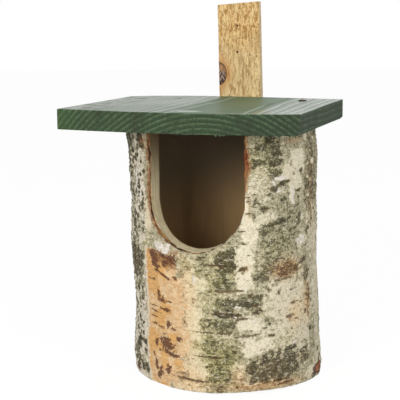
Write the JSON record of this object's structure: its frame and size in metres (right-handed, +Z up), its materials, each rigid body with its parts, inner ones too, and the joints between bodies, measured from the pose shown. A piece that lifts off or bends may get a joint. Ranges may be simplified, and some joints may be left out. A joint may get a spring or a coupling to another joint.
{
  "type": "open-fronted nest box",
  "caption": "Nest box of a hollowed birch log with a tall round-bottomed opening, a stained board roof and a batten behind it to hang it by.",
  "frame": {"origin": "on the chamber's axis, in the flat face that the log stands on", "axes": "+Z up along the chamber, -Y out of the opening, +Y towards the batten and the tree or wall behind, +X to the right as seen from the front"},
  "size_m": [0.2, 0.174, 0.3134],
  "materials": {
    "log_wood": "weathered cut birch wood, grey-olive and matt",
    "inner_bark": "rust-brown corky inner bark, matt",
    "outer_bark": "cream papery birch bark with lichen, lenticels and peeled places",
    "floor_wood": "plain sawn softwood",
    "roof_stain": "dark green stain on sawn softwood, satin",
    "batten_wood": "rough-sawn pale softwood, matt",
    "screw_steel": "steel gone brown with rust"
  },
  "bodies": {
    "root": {"log_wall": "log_wood", "inner_bark": "inner_bark", "outer_bark": "outer_bark", "floor_disc": "floor_wood", "roof_board": "roof_stain", "batten": "batten_wood", "roof_screw_right": "screw_steel", "roof_screw_left": "screw_steel", "batten_screw_upper": "screw_steel", "batten_screw_lower": "screw_steel", "floor_screw_right": "screw_steel", "floor_screw_back": "screw_steel", "floor_screw_left": "screw_steel"}
  },
  "joints": []
}
